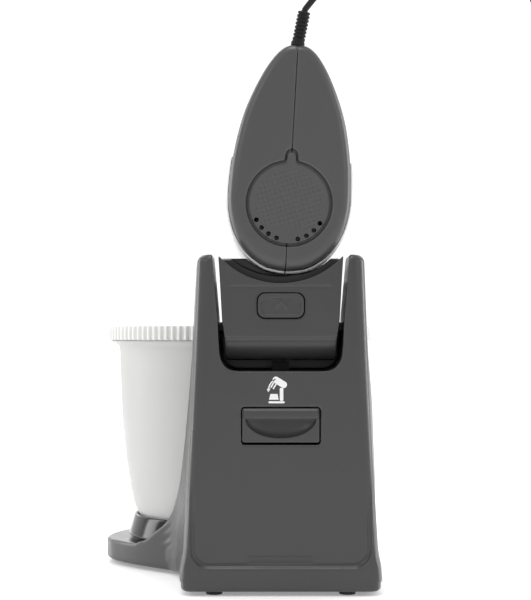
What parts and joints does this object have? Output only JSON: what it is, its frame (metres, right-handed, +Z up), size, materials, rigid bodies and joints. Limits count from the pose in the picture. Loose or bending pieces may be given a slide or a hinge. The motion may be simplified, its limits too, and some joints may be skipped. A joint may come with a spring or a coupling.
{
  "type": "stand mixer",
  "caption": "Kitchen stand mixer: a hand mixer docked on a tilting arm between two posts, over a translucent bowl that turns on a round base.",
  "frame": {"origin": "middle of the footprint, on the surface it stands on, measured without the mains lead", "axes": "+Z up; +Y from the column's rear face towards the bowl's front and the mixer's nose; +X to the right seen from behind"},
  "size_m": [0.4116, 0.3358, 0.4683],
  "materials": {
    "stand_grey": "satin, fine moulded texture",
    "mixer_grey": "satin gloss",
    "white_plastic": "smooth",
    "bowl_clear": "translucent milky plastic",
    "turntable_dark": "high gloss",
    "black_rubber": "matt",
    "black_plastic": "satin",
    "steel": "bright",
    "chrome": "polished",
    "copper": "enamelled winding",
    "nylon": "natural nylon",
    "cord_black": "matt sheath"
  },
  "bodies": {
    "stand": {"stand_housing": "stand_grey", "base_plate": "stand_grey", "base_screw_1": "steel", "base_screw_2": "steel", "base_screw_3": "steel", "base_screw_4": "steel", "foot_rear_left": "black_rubber", "foot_rear_right": "black_rubber", "foot_front_left": "black_rubber", "foot_front_right": "black_rubber", "foot_front": "black_rubber", "turntable_spindle": "steel", "hinge_axle": "steel", "lever_pin": "steel", "latch_spring": "steel", "cord_lead": "cord_black", "cord_coil": "cord_black", "mains_plug": "cord_black"},
    "head": {"arm_housing": "stand_grey", "arm_underplate": "stand_grey", "button_spring": "steel", "drive_belt": "black_rubber", "mixer_case_left": "mixer_grey", "mixer_case_right": "mixer_grey", "side_shell_left": "white_plastic", "side_shell_right": "white_plastic", "heel_pad": "mixer_grey", "motor_stator": "steel", "strain_relief": "cord_black"},
    "lever": {"tilt_lever": "stand_grey"},
    "latch": {"latch_bolt": "black_plastic"},
    "release": {"release_button": "stand_grey"},
    "bowl_group": {"turntable": "turntable_dark", "bowl": "bowl_clear", "bowl_gear_rim": "white_plastic"},
    "pinion": {"bowl_pinion": "nylon", "driven_pulley": "nylon"},
    "input": {"input_pulley": "nylon"},
    "rotor": {"motor_rotor": "copper", "cooling_fan": "nylon"},
    "beater_l": {"beater_left": "chrome", "worm_gear_left": "nylon"},
    "beater_r": {"beater_right": "chrome", "worm_gear_right": "nylon"},
    "slider": {"speed_slider": "black_plastic"},
    "turbo": {"turbo_button": "black_plastic"},
    "eject": {"eject_button": "black_plastic"}
  },
  "joints": [
    {"name": "arm_tilt", "type": "hinge", "parent": "stand", "child": "head", "pos_m": [0.0325, -0.11825, 0.192], "axis": [1, 0, 0], "range_deg": [0, 55]},
    {"name": "lever_pull", "type": "hinge", "parent": "stand", "child": "lever", "pos_m": [0.0325, -0.14075, 0.1124], "axis": [1, 0, 0], "range_deg": [0, 18], "stiffness_Nm_per_rad": 0.4, "springref_deg": -8.59},
    {"name": "latch_slide", "type": "slide", "parent": "stand", "child": "latch", "axis": [0, 0, -1], "range_m": [0, 0.0082], "deforming": ["latch_spring"]},
    {"name": "release_press", "type": "slide", "parent": "head", "child": "release", "axis": [0, 1, 0], "range_m": [0, 0.003], "stiffness_N_per_m": 400, "springref_m": -0.001, "deforming": ["button_spring"]},
    {"name": "bowl_spin", "type": "hinge", "parent": "stand", "child": "bowl_group", "pos_m": [0, 0.03475, 0.1], "axis": [0, 0, 1], "continuous": true},
    {"name": "pinion_spin", "type": "hinge", "parent": "head", "child": "pinion", "pos_m": [0.0605, -0.06885, 0.19], "axis": [0, 0, 1], "continuous": true},
    {"name": "input_spin", "type": "hinge", "parent": "head", "child": "input", "pos_m": [0.0542, 0.02975, 0.214], "axis": [0, 0, 1], "continuous": true},
    {"name": "rotor_spin", "type": "hinge", "parent": "head", "child": "rotor", "pos_m": [0.03837, -0.04525, 0.27913], "axis": [0, 1, 0], "continuous": true},
    {"name": "beater_left_spin", "type": "hinge", "parent": "head", "child": "beater_l", "pos_m": [0.01633, 0.02975, 0.23429], "axis": [0.0558, 0, 0.9984], "continuous": true},
    {"name": "beater_right_spin", "type": "hinge", "parent": "head", "child": "beater_r", "pos_m": [0.05527, 0.02975, 0.23211], "axis": [0.0558, 0, 0.9984], "continuous": true},
    {"name": "speed_slide", "type": "slide", "parent": "head", "child": "slider", "axis": [-0.0116, 0.9782, -0.2075], "range_m": [0, 0.016]},
    {"name": "turbo_press", "type": "slide", "parent": "head", "child": "turbo", "axis": [-0.0558, 0, -0.9984], "range_m": [0, 0.0025], "stiffness_N_per_m": 400, "springref_m": -0.001},
    {"name": "eject_press", "type": "slide", "parent": "head", "child": "eject", "axis": [-0.0558, 0, -0.9984], "range_m": [0, 0.004], "stiffness_N_per_m": 500, "springref_m": -0.001}
  ],
  "couplings": [
    {"joint": "latch_slide", "follows": "lever_pull", "m_per_rad": 0.0255},
    {"joint": "pinion_spin", "follows": "bowl_spin", "ratio": -10.909},
    {"joint": "input_spin", "follows": "bowl_spin", "ratio": -15.484},
    {"joint": "beater_right_spin", "follows": "bowl_spin", "ratio": -15.484},
    {"joint": "beater_left_spin", "follows": "bowl_spin", "ratio": 15.484}
  ]
}
